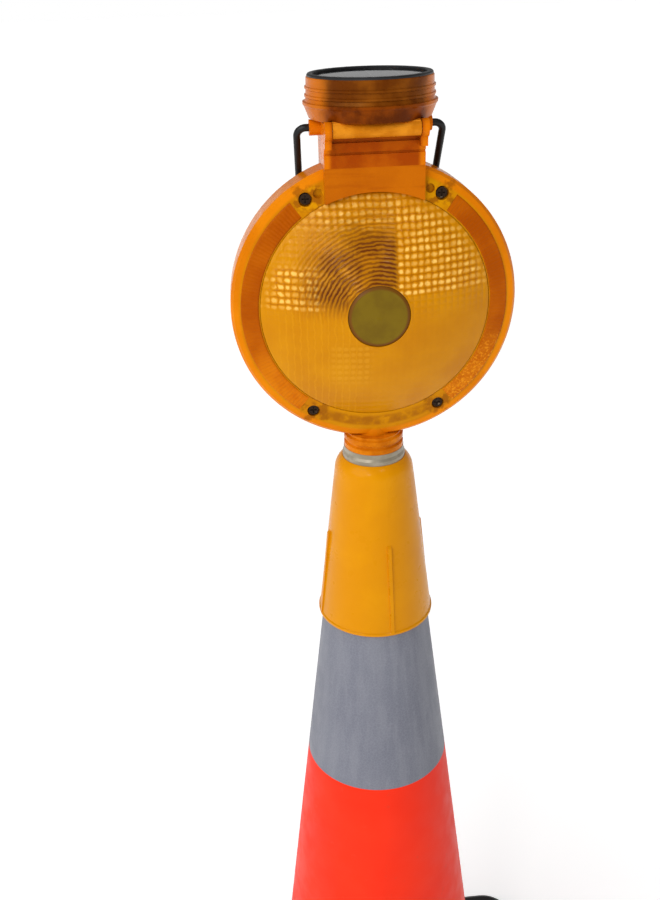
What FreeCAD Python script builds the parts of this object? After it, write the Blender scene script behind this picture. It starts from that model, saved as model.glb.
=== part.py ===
import FreeCAD, Part
import math
import os
import Sketcher

# Solar warning lamp on a traffic cone.
# Millimetres, +Z up, lamp facing -Y, origin on the ground at the centre of the square base.

Vec = FreeCAD.Vector
doc = FreeCAD.newDocument("ConeWarningLamp")

# ---------------------------------------------------------------- driving dimensions
DIMENSIONS = {
    "base_width": 380, "base_thick": 28, "base_corner": 34, "base_chamfer": 9,
    "base_bore": 119.5, "base_recess": 132, "base_recess_deep": 8, "base_collar": 130,
    "base_collar_high": 9, "base_rib_wide": 12, "base_rib_long": 50,
    "cone_top": 750, "cone_top_radius": 27, "cone_slope": 0.1215, "cone_wall": 3.6,
    "flange_radius": 129, "flange_thick": 5,
    "sleeve_bottom": 475.5, "sleeve_top": 650, "sleeve_recess": 0.9, "sleeve_thick": 0.9,
    "cap_bottom": 622.5, "cap_top": 762, "cap_rim_radius": 46.3, "cap_rim_high": 2.4,
    "cap_wall": 2.5, "cap_shoulder": 752, "cap_shoulder_radius": 15, "cap_top_radius": 24.4,
    "cap_gap": 0.7, "cap_ceiling": 758, "cap_stop_radius": 25, "cap_rib_top": 698,
    "cap_rib_wide": 2.8, "cap_rib_proud": 2, "cap_rib_low_proud": 0.9, "cap_rib_turn": 10,
    "bolt_radius": 6, "bolt_hole": 6.5, "bolt_flats": 18, "bolt_head_high": 8, "bolt_top": 792,
    "washer_radius": 12.5, "washer_thick": 2.5,
    "ring_radius": 23.7, "ring_top_radius": 22.6, "ring_top": 770.5,
    "collar_radius": 22.3, "collar_groove": 20.6, "collar_bore": 15.2,
    "spigot_radius": 15, "spigot_bore": 9.1, "insert_bore": 6.15, "insert_top": 790,
    "disc_centre": 883, "rim_radius": 100, "rim_edge": 11.3, "rim_face": 13.8, "rim_shoulder": 98,
    "rim_wall": 3, "seat_radius": 80, "seat_front": 17.4, "seat_back": 14, "shelf_radius": 75,
    "shelf_back": 11.5, "seal_in": 97.9, "seal_out": 99.1, "seal_deep": 1,
    "lens_radius": 79.7, "lens_edge": 18.5, "lens_sphere": 152, "lens_sphere_in": 149.5,
    "lens_hole": 21.5, "window_radius": 21.2, "window_front": 39.8, "window_flange": 24.3,
    "neck_half": 33, "neck_deep": 22, "neck_wall": 2.5, "neck_top": 124, "neck_low": 60,
    "neck_clear": 82.5, "neck_groove": 1.2,
    "screw_x": 45.6, "screw_y": 75.9, "boss_radius": 5.6, "screw_recess": 4.6,
    "screw_floor": 11.6, "screw_head": 3.7, "screw_shank": 1.9, "insert_radius": 3.3,
    "pivot_up": 119, "lug_radius": 5.1, "lug_end": 40.5, "lug_bore": 2.7,
    "wire_radius": 2.4, "bail_half": 48.6, "bail_half_low": 44.8, "bail_reach": 110,
    "bail_lean": 28, "bail_bend": 6, "bail_corner": 16, "bail_end": 34,
    "hinge_up": 120.4, "hinge_out": 30, "barrel_radius": 4.85, "barrel_half": 28.1,
    "cheek_in": 28.4, "cheek_out": 33, "cheek_radius": 5.6, "pin_radius": 1.5, "pin_bore": 1.65,
    "head_bottom": 1007.4, "head_inner": 38, "head_floor": 2.5, "head_flange": 44,
    "head_top": 1033.4, "cover_low": 1032, "cover_thick": 1.5, "panel_top": 1035,
    "bezel_radius": 40.8, "bezel_inner": 36.8, "cover_radius": 39, "cell_radius": 36,
    "cell_thick": 1, "tongue_half": 8, "tongue_front": 16.4, "tongue_back": 18.4,
    "contact_half": 9, "contact_deep": 3.2,
    "reflector_radius": 78, "reflector_thick": 1.5, "reflector_hole": 18, "post_ring": 26,
    "board_radius": 34, "board_thick": 1.6, "led_radius": 2.5, "led_ring": 11,
    "cell_diameter": 14.2, "cell_length": 50, "cell_spacing": 8.2, "cell_up": 109,
    "tray_half": 30.3, "tray_deep": 19.3, "pocket_half": 25.6, "pocket_deep": 15.9,
    "tray_low": 9.4, "pocket_low": 7.2, "control_half": 25, "control_deep": 15,
    "control_low": 98, "control_thick": 1.6, "lead_radius": 0.9, "lead_spacing": 5,
    "lead_long": 63.7, "socket_half": 8.5, "socket_deep": 0.9, "post_radius": 2.5,
    "mark_radius": 3, "mark_x": 37.5, "mark_y": 79.5, "mark_floor": 12.4,
    "switch_up": 90, "switch_hole": 6, "casing_half": 6, "casing_back": 9.5,
    "bezel_flange": 7.8, "bezel_proud": 1.8, "button_radius": 4.5, "button_out": 25.5,
    "button_in": 21.3, "stem_radius": 1.8, "stem_back": 14.5, "stem_long": 7,
}

sheet = doc.addObject("Spreadsheet::Sheet", "Dim")
for row, (alias, size) in enumerate(DIMENSIONS.items(), start=1):
    sheet.set("A%d" % row, str(size))
    sheet.setAlias("A%d" % row, alias)
doc.recompute()

NODES = []


def number(expression):
    """The present value of an expression on the dimension sheet."""
    return float(sheet.evalExpression(str(expression)))


def node(shape_object, name):
    """Register an object as one finished sub-part."""
    shape_object.Label = name
    NODES.append(shape_object)
    return shape_object


def place(item, x="0", y="0", z="0", rotation=None):
    """Put an object at sheet-driven coordinates, with an optional fixed rotation."""
    if rotation is not None:
        item.Placement = FreeCAD.Placement(Vec(0, 0, 0), rotation)
    for axis, expression in (("x", x), ("y", y), ("z", z)):
        item.setExpression("Placement.Base." + axis, str(expression))
    return item


ALONG_X = FreeCAD.Rotation(Vec(0, 1, 0), 90)
ALONG_Y = FreeCAD.Rotation(Vec(1, 0, 0), -90)
FRONT = FreeCAD.Rotation(Vec(1, 0, 0), 90)
REAR = FreeCAD.Rotation(Vec(0, 0, 1), 180).multiply(FRONT)


def cylinder(radius, height, x="0", y="0", z="0", rotation=None):
    item = doc.addObject("Part::Cylinder", "Cylinder")
    item.setExpression("Radius", str(radius))
    item.setExpression("Height", str(height))
    return place(item, x, y, z, rotation)


def box(x0, x1, y0, y1, z0, z1):
    """A box between two sheet-driven corners."""
    item = doc.addObject("Part::Box", "Box")
    item.setExpression("Length", "(%s) - (%s)" % (x1, x0))
    item.setExpression("Width", "(%s) - (%s)" % (y1, y0))
    item.setExpression("Height", "(%s) - (%s)" % (z1, z0))
    return place(item, x0, y0, z0)


def fuse(items, kind="Part::MultiFuse"):
    item = doc.addObject(kind, "Fuse")
    item.Shapes = items
    return item


def cut(base, tools):
    item = doc.addObject("Part::Cut", "Cut")
    item.Base = base
    item.Tool = tools[0] if len(tools) == 1 else fuse(tools)
    return item


def common(first, second):
    item = doc.addObject("Part::Common", "Common")
    item.Base = first
    item.Tool = second
    return item


def group(items):
    """Several separate solids kept in one sub-part, as with identical fasteners."""
    item = doc.addObject("Part::Compound", "Group")
    item.Links = items
    return item


def sketch_on(body, name, role):
    plane = [part for part in body.Origin.OriginFeatures if part.Role == role][0]
    sketch = body.newObject("Sketcher::SketchObject", name)
    sketch.AttachmentSupport = [(plane, "")]
    sketch.MapMode = "FlatFace"
    return sketch


def outline(sketch, corners, closed=True):
    """Draw lines and arcs through corners given as sheet expressions, all dimensioned.

    A corner is (across, up) or (across, up, radius, turn): the last two make the edge that
    leaves it an arc, turning "left" (anticlockwise) or "right".
    """
    points = [Vec(number(corner[0]), number(corner[1]), 0) for corner in corners]
    count = len(corners)
    edges = count if closed else count - 1
    starts = []
    ends = []
    for index in range(edges):
        first = points[index]
        last = points[(index + 1) % count]
        corner = corners[index]
        if len(corner) == 2:
            sketch.addGeometry(Part.LineSegment(first, last))
            starts.append(1)
            ends.append(2)
            continue
        radius = number(corner[2])
        chord = last - first
        half = chord.Length / 2
        side = Vec(-chord.y, chord.x, 0).normalize()
        if corner[3] == "right":
            side = side * -1
        centre = (first + last) * 0.5 + side * math.sqrt(radius * radius - half * half)
        angle_first = math.atan2(first.y - centre.y, first.x - centre.x)
        angle_last = math.atan2(last.y - centre.y, last.x - centre.x)
        if corner[3] == "left":
            span = (angle_first, angle_last)
            starts.append(1)
            ends.append(2)
        else:
            span = (angle_last, angle_first)
            starts.append(2)
            ends.append(1)
        circle = Part.Circle(centre, Vec(0, 0, 1), radius)
        sketch.addGeometry(Part.ArcOfCircle(circle, span[0], span[1]))
    for index in range(edges):
        following = (index + 1) % count
        if following < edges:
            sketch.addConstraint(
                Sketcher.Constraint("Coincident", index, ends[index], following, starts[following])
            )
    for index in range(count):
        edge = index if index < edges else edges - 1
        end = starts[index] if index < edges else ends[edges - 1]
        for kind, value, expression in (
            ("DistanceX", points[index].x, corners[index][0]),
            ("DistanceY", points[index].y, corners[index][1]),
        ):
            key = sketch.addConstraint(Sketcher.Constraint(kind, -1, 1, edge, end, value))
            sketch.setExpression("Constraints[%d]" % key, str(expression))
        if index < edges and len(corners[index]) == 4:
            radius = number(corners[index][2])
            key = sketch.addConstraint(Sketcher.Constraint("Radius", edge, radius))
            sketch.setExpression("Constraints[%d]" % key, str(corners[index][2]))
    return sketch


def revolved(corners, name="Turned"):
    """A body turned about Z from a closed profile of (radius, height) corners."""
    body = doc.addObject("PartDesign::Body", name)
    sketch = outline(sketch_on(body, "Profile", "XZ_Plane"), corners)
    turn = body.newObject("PartDesign::Revolution", "Turn")
    turn.Profile = sketch
    turn.ReferenceAxis = (sketch, ["V_Axis"])
    turn.Angle = 360
    return body


def padded(corners, length, role="XY_Plane", name="Padded"):
    """A body made by padding a closed outline from its plane."""
    body = doc.addObject("PartDesign::Body", name)
    sketch = outline(sketch_on(body, "Profile", role), corners)
    pad = body.newObject("PartDesign::Pad", "Pad")
    pad.Profile = sketch
    pad.setExpression("Length", str(length))
    return body


def cone_radius(height, offset="0"):
    """Outer radius of the cone at a height, plus an offset."""
    return "Dim.cone_top_radius + Dim.cone_slope * (Dim.cone_top - (%s)) + (%s)" % (height, offset)


# ---------------------------------------------------------------- traffic cone
def rounded_square(half, corner):
    """Corners of a square with rounded corners, centred on the origin."""
    flat = "(%s) - (%s)" % (half, corner)
    minus_half = "-(%s)" % half
    minus_flat = "-(%s)" % flat
    return [
        (minus_flat, minus_half), (flat, minus_half, corner, "left"),
        (half, minus_flat), (half, flat, corner, "left"),
        (flat, half), (minus_flat, half, corner, "left"),
        (minus_half, flat), (minus_half, minus_flat, corner, "left"),
    ]


def make_cone_base():
    slab = padded(rounded_square("Dim.base_width / 2", "Dim.base_corner"), "Dim.base_thick")
    doc.recompute()
    pad = slab.Tip
    top_edges = []
    for index, edge in enumerate(slab.Shape.Edges, start=1):
        if edge.BoundBox.ZMin > number("Dim.base_thick") - 0.01:
            top_edges.append("Edge%d" % index)
    chamfer = slab.newObject("PartDesign::Chamfer", "TopChamfer")
    chamfer.Base = (pad, top_edges)
    chamfer.setExpression("Size", "Dim.base_chamfer")
    collar = cylinder("Dim.base_collar", "Dim.base_thick + Dim.base_collar_high")
    ribs = []
    for turn in (45, 135, 225, 315):
        rib = doc.addObject("Part::Box", "CornerRib")
        rib.setExpression("Length", "Dim.base_collar + Dim.base_rib_long")
        rib.setExpression("Width", "Dim.base_rib_wide")
        rib.setExpression("Height", "Dim.base_thick + Dim.base_collar_high / 2")
        angle = math.radians(turn)
        rib.Placement = FreeCAD.Placement(Vec(0, 0, 0), FreeCAD.Rotation(Vec(0, 0, 1), turn))
        rib.setExpression("Placement.Base.x", "Dim.base_rib_wide / 2 * %.6f" % math.sin(angle))
        rib.setExpression("Placement.Base.y", "-Dim.base_rib_wide / 2 * %.6f" % math.cos(angle))
        ribs.append(rib)
    bore = cylinder("Dim.base_bore", "Dim.base_thick + Dim.base_collar_high + 2", z="-1")
    recess = cylinder("Dim.base_recess", "Dim.base_recess_deep + 1", z="-1")
    node(cut(fuse([slab, collar] + ribs), [bore, recess]), "cone_base")


def make_cone_body():
    seat = "Dim.base_recess_deep"
    flange_low = "Dim.base_recess_deep - Dim.flange_thick"
    low = "Dim.sleeve_bottom"
    high = "Dim.sleeve_top"
    top = "Dim.cone_top"
    sunk = "-Dim.sleeve_recess"
    wall = "-Dim.cone_wall"
    corners = [
        (cone_radius(flange_low, wall), flange_low), ("Dim.flange_radius", flange_low),
        ("Dim.flange_radius", seat), (cone_radius(seat), seat),
        (cone_radius(low), low), (cone_radius(low, sunk), low),
        (cone_radius(high, sunk), high), (cone_radius(high), high),
        (cone_radius("Dim.cone_top - 1"), "Dim.cone_top - 1"), (cone_radius(top, "-0.8"), top),
        (cone_radius(top, wall), top),
    ]
    node(revolved(corners), "cone_body")


def make_sleeve():
    low = "Dim.sleeve_bottom"
    high = "Dim.sleeve_top"
    inner = "-Dim.sleeve_recess + 0.02"
    outer = "-Dim.sleeve_recess + 0.02 + Dim.sleeve_thick"
    corners = [
        (cone_radius(low, inner), low), (cone_radius(low, outer), low),
        (cone_radius(high, outer), high), (cone_radius(high, inner), high),
    ]
    node(revolved(corners), "reflective_sleeve")


# ---------------------------------------------------------------- cone adaptor
def make_adaptor_cap():
    bottom = "Dim.cap_bottom"
    ledge = "Dim.cone_top"
    rim_high = "Dim.cap_bottom + Dim.cap_rim_high"
    skin = "Dim.cap_gap + Dim.cap_wall"
    corners = [
        (cone_radius(bottom, "Dim.cap_gap"), bottom),
        ("Dim.cap_rim_radius - 0.8", bottom), ("Dim.cap_rim_radius", "Dim.cap_bottom + 0.8"),
        ("Dim.cap_rim_radius", rim_high), (cone_radius(rim_high + " + 0.9", skin), rim_high + " + 0.9"),
        (cone_radius("Dim.cap_shoulder", skin), "Dim.cap_shoulder", "Dim.cap_shoulder_radius", "left"),
        ("Dim.cap_top_radius", "Dim.cap_top"),
        ("Dim.bolt_hole", "Dim.cap_top"), ("Dim.bolt_hole", "Dim.cap_ceiling"),
        ("Dim.cap_stop_radius - 1", "Dim.cap_ceiling"), ("Dim.cap_stop_radius", ledge),
        (cone_radius(ledge, "Dim.cap_gap"), ledge),
    ]
    body = revolved(corners, "AdaptorCap")
    rib_low = "Dim.cap_bottom + Dim.cap_rim_high - 1"
    rib_high = "Dim.cap_rib_top"
    rib_corners = [
        (cone_radius(rib_low, skin + " - 1.2"), rib_low),
        (cone_radius(rib_low, skin + " + Dim.cap_rib_low_proud"), rib_low),
        (cone_radius(rib_high, skin + " + Dim.cap_rib_proud"), rib_high),
        (cone_radius(rib_high + " + 3", skin + " - 1"), rib_high + " + 3"),
    ]
    sketch = outline(sketch_on(body, "RibProfile", "XZ_Plane"), rib_corners)
    rib = body.newObject("PartDesign::Pad", "Rib")
    rib.Profile = sketch
    rib.SideType = "Symmetric"
    rib.setExpression("Length", "Dim.cap_rib_wide")
    doc.recompute()
    pattern = body.newObject("PartDesign::PolarPattern", "RibPattern")
    pattern.Originals = [rib]
    upright = [part for part in body.Origin.OriginFeatures if part.Role == "Z_Axis"][0]
    pattern.Axis = (upright, [""])
    pattern.Angle = 360
    pattern.Occurrences = 4
    body.Tip = pattern
    turn = number("Dim.cap_rib_turn") - 90
    body.Placement = FreeCAD.Placement(Vec(0, 0, 0), FreeCAD.Rotation(Vec(0, 0, 1), turn))
    node(body, "adaptor_cap")


def make_clamp():
    head_low = "Dim.cap_ceiling - Dim.washer_thick - Dim.bolt_head_high"
    head = doc.addObject("Part::Prism", "HexHead")
    head.Polygon = 6
    head.setExpression("Circumradius", "Dim.bolt_flats / 1.7320508")
    head.setExpression("Height", "Dim.bolt_head_high")
    place(head, z=head_low)
    shank = cylinder("Dim.bolt_radius", "Dim.bolt_top - (%s)" % head_low, z=head_low)
    node(fuse([head, shank]), "clamp_bolt")
    washer_low = "Dim.cap_ceiling - Dim.washer_thick"
    washer = cylinder("Dim.washer_radius", "Dim.washer_thick", z=washer_low)
    hole = cylinder("Dim.bolt_hole", "Dim.washer_thick + 2", z=washer_low + " - 1")
    node(cut(washer, [hole]), "clamp_washer")
    ring_corners = [
        ("Dim.bolt_hole", "Dim.cap_top"), ("Dim.ring_radius", "Dim.cap_top"),
        ("Dim.ring_radius", "Dim.cap_top + 3"), ("Dim.ring_top_radius", "Dim.cap_top + 5"),
        ("Dim.ring_top_radius", "Dim.ring_top"), ("Dim.bolt_hole", "Dim.ring_top"),
    ]
    node(revolved(ring_corners), "spacer_ring")


# ---------------------------------------------------------------- lamp mounting
def make_mount():
    low = "Dim.ring_top"
    corners = [("Dim.collar_bore", low)]
    levels = (0, 3.6, 4.6, 6.2, 7.2, 10.4, 11.3, 12.8)
    radii = ("collar_radius", "collar_radius", "collar_groove", "collar_groove",
             "collar_radius", "collar_radius", "collar_groove", "collar_groove")
    for level, radius in zip(levels, radii):
        corners.append(("Dim." + radius, low + " + %s" % level))
    corners.append(("Dim.collar_bore", low + " + 12.8"))
    node(revolved(corners), "mount_collar")
    outer = cylinder("Dim.spigot_bore - 0.1", "Dim.insert_top - Dim.ring_top - 1", z=low + " + 1")
    hole = cylinder("Dim.insert_bore", "Dim.insert_top - Dim.ring_top + 2", z=low)
    node(cut(outer, [hole]), "mount_insert")


# ---------------------------------------------------------------- lamp shells
# Drawn with the disc's centre as origin, y up and z out towards the lens.
def rim_profile():
    return [
        ("Dim.rim_radius", "0"), ("Dim.rim_radius", "Dim.rim_edge"),
        ("Dim.rim_shoulder", "Dim.rim_face"), ("Dim.seat_radius", "Dim.seat_front"),
        ("Dim.seat_radius", "Dim.seat_back"), ("Dim.shelf_radius", "Dim.seat_back"),
        ("Dim.shelf_radius", "Dim.shelf_back"), ("Dim.seat_radius + 2", "Dim.shelf_back"),
        ("Dim.rim_shoulder - 2.5", "Dim.rim_face - 3.5"),
        ("Dim.rim_radius - Dim.rim_wall", "Dim.rim_face - 5.5"),
        ("Dim.rim_radius - Dim.rim_wall", "0"), ("Dim.seal_in", "0"),
        ("Dim.seal_in", "Dim.seal_deep"), ("Dim.seal_out", "Dim.seal_deep"), ("Dim.seal_out", "0"),
    ]


def corner_points():
    return [(sx + "Dim.screw_x", sy + "Dim.screw_y") for sx in ("", "-") for sy in ("", "-")]


def make_shell(side):
    front = side == "front"
    solids = [revolved(rim_profile())]
    solids.append(box("-Dim.neck_half", "Dim.neck_half", "Dim.neck_low", "Dim.neck_top",
                      "0", "Dim.neck_deep"))
    for x, y in corner_points():
        solids.append(cylinder("Dim.boss_radius", "Dim.screw_floor + 0.5", x=x, y=y))
    for x in ("-Dim.lug_end", "Dim.neck_half - 1"):
        solids.append(cylinder("Dim.lug_radius", "Dim.lug_end - Dim.neck_half + 1", x=x,
                               y="Dim.pivot_up", rotation=ALONG_X))
    spigot_low = "Dim.ring_top + 0.5 - Dim.disc_centre"
    solids.append(cylinder("Dim.spigot_radius", "30", y=spigot_low, rotation=ALONG_Y))
    if front:
        for x in ("-Dim.cheek_out", "Dim.cheek_in"):
            solids.append(cylinder("Dim.cheek_radius", "Dim.cheek_out - Dim.cheek_in", x=x,
                                   y="Dim.hinge_up", z="Dim.hinge_out", rotation=ALONG_X))
        for x0, x1 in (("-Dim.cheek_out", "-Dim.cheek_in"), ("Dim.cheek_in", "Dim.cheek_out")):
            solids.append(box(x0, x1, "Dim.hinge_up - Dim.cheek_radius - 6", "Dim.hinge_up",
                              "Dim.neck_deep - 1", "Dim.hinge_out"))
    hollow_neck = cut(
        box("-Dim.neck_half + Dim.neck_wall", "Dim.neck_half - Dim.neck_wall", "Dim.neck_low",
            "Dim.neck_top + 1", "-1", "Dim.neck_deep - Dim.neck_wall"),
        [cylinder("Dim.neck_clear", "60", z="-20")],
    )
    tools = [hollow_neck]
    tools.append(cylinder("Dim.seat_radius", "40", z="Dim.seat_back"))
    tools.append(cylinder("Dim.shelf_radius", "80", z="-20"))
    tools.append(cylinder("Dim.neck_clear", "Dim.shelf_back + 1", z="-1"))
    tools.append(cylinder("Dim.spigot_bore", "24", y=spigot_low + " - 1", rotation=ALONG_Y))
    for x in ("-Dim.lug_end - 1", "Dim.bail_end - 0.5"):
        tools.append(cylinder("Dim.lug_bore", "Dim.lug_end - Dim.bail_end + 1.5", x=x,
                              y="Dim.pivot_up", rotation=ALONG_X))
    for x, y in corner_points():
        if front:
            tools.append(cylinder("Dim.screw_shank + 0.2", "30", x=x, y=y, z="-1"))
            tools.append(cylinder("Dim.screw_recess", "10", x=x, y=y, z="Dim.screw_floor"))
        else:
            tools.append(cylinder("Dim.insert_radius", "9", x=x, y=y, z="-1"))
    if front:
        tools.append(cylinder("Dim.pin_radius", "80", x="-40", y="Dim.hinge_up",
                              z="Dim.hinge_out", rotation=ALONG_X))
        for level in ("104", "111.5"):
            tools.append(box("-Dim.neck_half - 1", "Dim.neck_half + 1", level, level + " + 1.6",
                             "Dim.neck_deep - Dim.neck_groove", "Dim.neck_deep + 2"))
        for sign in ("-", ""):
            tools.append(cylinder("Dim.mark_radius", "10", x=sign + "Dim.mark_x",
                                  y="Dim.mark_y", z="Dim.mark_floor"))
    else:
        tools.append(cylinder("Dim.switch_hole", "12", y="Dim.switch_up", z="Dim.neck_deep - 8"))
    half_space = box("-150", "150", "-150", "150", "0", "80")
    shell = common(cut(fuse(solids), tools), half_space)
    place(shell, z="Dim.disc_centre", rotation=FRONT if front else REAR)
    node(shell, side + "_shell")


def make_lens(side):
    rotation = FRONT if side == "front" else REAR
    centre = "(Dim.window_front + 0.2 - Dim.lens_sphere)"
    rim = "Dim.lens_radius - 1.7"
    outer_hole = "%s + sqrt(Dim.lens_sphere^2 - Dim.lens_hole^2)" % centre
    outer_edge = "%s + sqrt(Dim.lens_sphere^2 - (%s)^2)" % (centre, rim)
    inner_hole = "%s + sqrt(Dim.lens_sphere_in^2 - Dim.lens_hole^2)" % centre
    inner_edge = "%s + sqrt(Dim.lens_sphere_in^2 - (Dim.shelf_radius + 0.5)^2)" % centre
    corners = [
        ("Dim.lens_hole", inner_hole, "Dim.lens_sphere_in", "right"),
        ("Dim.shelf_radius + 0.5", inner_edge),
        ("Dim.shelf_radius + 0.5", "Dim.seat_back"), ("Dim.lens_radius", "Dim.seat_back"),
        ("Dim.lens_radius", "Dim.lens_edge - 1"),
        (rim, outer_edge, "Dim.lens_sphere", "left"), ("Dim.lens_hole", outer_hole),
    ]
    lens = revolved(corners)
    place(lens, z="Dim.disc_centre", rotation=rotation)
    node(lens, side + "_lens")
    window_corners = [
        ("0", "Dim.window_front - 7"), ("Dim.window_flange", "Dim.window_front - 7"),
        ("Dim.window_flange", "Dim.window_front - 5"),
        ("Dim.window_radius", "Dim.window_front - 4.9"),
        ("Dim.window_radius", "Dim.window_front - 1.9"),
        ("Dim.window_radius - 2", "Dim.window_front - 0.9"), ("0", "Dim.window_front"),
    ]
    window = revolved(window_corners)
    place(window, z="Dim.disc_centre", rotation=rotation)
    node(window, side + "_window")


def make_reflector(side):
    rotation = FRONT if side == "front" else REAR
    back = "Dim.shelf_back - Dim.reflector_thick"
    plate = cylinder("Dim.reflector_radius", "Dim.reflector_thick", z=back)
    posts = []
    for turn in (30, 150, 270):
        angle = math.radians(turn)
        posts.append(cylinder("Dim.post_radius", "%s - Dim.board_thick / 2 + 0.3" % back,
                              x="Dim.post_ring * %.6f" % math.cos(angle),
                              y="Dim.post_ring * %.6f" % math.sin(angle),
                              z="Dim.board_thick / 2"))
    hole = cylinder("Dim.reflector_hole", "20", z="-2")
    reflector = cut(fuse([plate] + posts), [hole])
    place(reflector, z="Dim.disc_centre", rotation=rotation)
    node(reflector, side + "_reflector")
    leds = []
    for index in range(7):
        angle = math.radians(60 * index)
        reach = 0 if index == 6 else 1
        x = "Dim.led_ring * %.6f" % (reach * math.cos(angle))
        y = "Dim.led_ring * %.6f" % (reach * math.sin(angle))
        stem = cylinder("Dim.led_radius", "5.5", x=x, y=y, z="Dim.board_thick / 2")
        dome = doc.addObject("Part::Sphere", "LedDome")
        dome.setExpression("Radius", "Dim.led_radius")
        place(dome, x, y, "Dim.board_thick / 2 + 5.5")
        leds.append(fuse([stem, dome]))
    cluster = group(leds)
    place(cluster, z="Dim.disc_centre", rotation=rotation)
    node(cluster, side + "_leds")


def make_rim_seal():
    corners = [
        ("Dim.seal_in + 0.05", "-Dim.seal_deep + 0.05"),
        ("Dim.seal_out - 0.05", "-Dim.seal_deep + 0.05"),
        ("Dim.seal_out - 0.05", "Dim.seal_deep - 0.05"),
        ("Dim.seal_in + 0.05", "Dim.seal_deep - 0.05"),
    ]
    ring = revolved(corners)
    gap = box("-Dim.neck_half - 0.3", "Dim.neck_half + 0.3", "Dim.neck_low", "Dim.neck_top",
              "-5", "5")
    foot = box("-Dim.spigot_radius - 0.3", "Dim.spigot_radius + 0.3", "-Dim.neck_top",
               "-Dim.neck_low", "-5", "5")
    seal = cut(ring, [gap, foot])
    place(seal, z="Dim.disc_centre", rotation=FRONT)
    node(seal, "rim_seal")


def make_shell_fasteners():
    screws = []
    inserts = []
    for x, y in corner_points():
        head = cylinder("Dim.screw_head", "2.4", x=x, y=y, z="Dim.screw_floor")
        shank = cylinder("Dim.screw_shank", "Dim.screw_floor + 8.5", x=x, y=y, z="-8")
        slot_x = box(x + " - 2.4", x + " + 2.4", y + " - 0.45", y + " + 0.45",
                     "Dim.screw_floor + 1.1", "Dim.screw_floor + 4")
        slot_y = box(x + " - 0.45", x + " + 0.45", y + " - 2.4", y + " + 2.4",
                     "Dim.screw_floor + 1.1", "Dim.screw_floor + 4")
        screws.append(cut(fuse([head, shank]), [slot_x, slot_y]))
        bush = cylinder("Dim.insert_radius - 0.02", "7.6", x=x, y=y, z="-7.8")
        hole = cylinder("Dim.screw_shank + 0.02", "12", x=x, y=y, z="-10")
        inserts.append(cut(bush, [hole]))
    screw_group = group(screws)
    insert_group = group(inserts)
    for fasteners, name in ((screw_group, "shell_screws"), (insert_group, "shell_inserts")):
        place(fasteners, z="Dim.disc_centre", rotation=FRONT)
        node(fasteners, name)


# ---------------------------------------------------------------- electrics in the lamp
def lamp_z(level):
    return "Dim.disc_centre + (%s)" % level


def make_electrics():
    board = cylinder("Dim.board_radius", "Dim.board_thick", z="-Dim.board_thick / 2")
    place(board, z="Dim.disc_centre", rotation=FRONT)
    board.setExpression("Placement.Base.y", "Dim.board_thick / 2")
    node(board, "led_board")
    cells = []
    contacts = []
    for sign in ("-", ""):
        y = sign + "Dim.cell_spacing"
        can = cylinder("Dim.cell_diameter / 2", "Dim.cell_length - 1.5", x="-Dim.cell_length / 2",
                       y=y, z=lamp_z("Dim.cell_up"), rotation=ALONG_X)
        nub = cylinder("2.7", "1.6", x="Dim.cell_length / 2 - 1.6", y=y,
                       z=lamp_z("Dim.cell_up"), rotation=ALONG_X)
        cells.append(fuse([can, nub]))
        for x in ("-Dim.cell_length / 2 - 0.6", "Dim.cell_length / 2 + 0.1"):
            contacts.append(box(x, x + " + 0.5", y + " - 4", y + " + 4",
                                lamp_z("Dim.cell_up - 5"), lamp_z("Dim.cell_up + 5")))
    node(group(cells), "battery_cells")
    node(group(contacts), "battery_contacts")
    tray = box("-Dim.tray_half", "Dim.tray_half", "-Dim.tray_deep", "Dim.tray_deep",
               lamp_z("Dim.cell_up - Dim.tray_low"), lamp_z("Dim.cell_up + 2"))
    pocket = box("-Dim.pocket_half", "Dim.pocket_half", "-Dim.pocket_deep", "Dim.pocket_deep",
                 lamp_z("Dim.cell_up - Dim.pocket_low"), lamp_z("Dim.cell_up + 9"))
    node(cut(tray, [pocket]), "battery_tray")
    underside = lamp_z("Dim.control_low")
    board_top = lamp_z("Dim.control_low + Dim.control_thick")
    node(box("-Dim.control_half", "Dim.control_half", "-Dim.control_deep", "Dim.control_deep",
             underside, board_top), "control_board")
    chip = box("-18", "-8", "-8", "4", underside + " - 1.8", underside)
    choke = cylinder("4", "5", x="16", y="-6", z=underside + " - 5")
    reservoir = cylinder("3.2", "8", x="-17", y="10", z=underside + " - 8")
    node(group([chip, choke, reservoir]), "board_components")
    leads = []
    for sign in ("-", ""):
        leads.append(cylinder("Dim.lead_radius", "Dim.lead_long", x=sign + "Dim.lead_spacing",
                              z=lamp_z("Dim.board_radius + 0.2")))
    node(group(leads), "lamp_leads")


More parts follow.
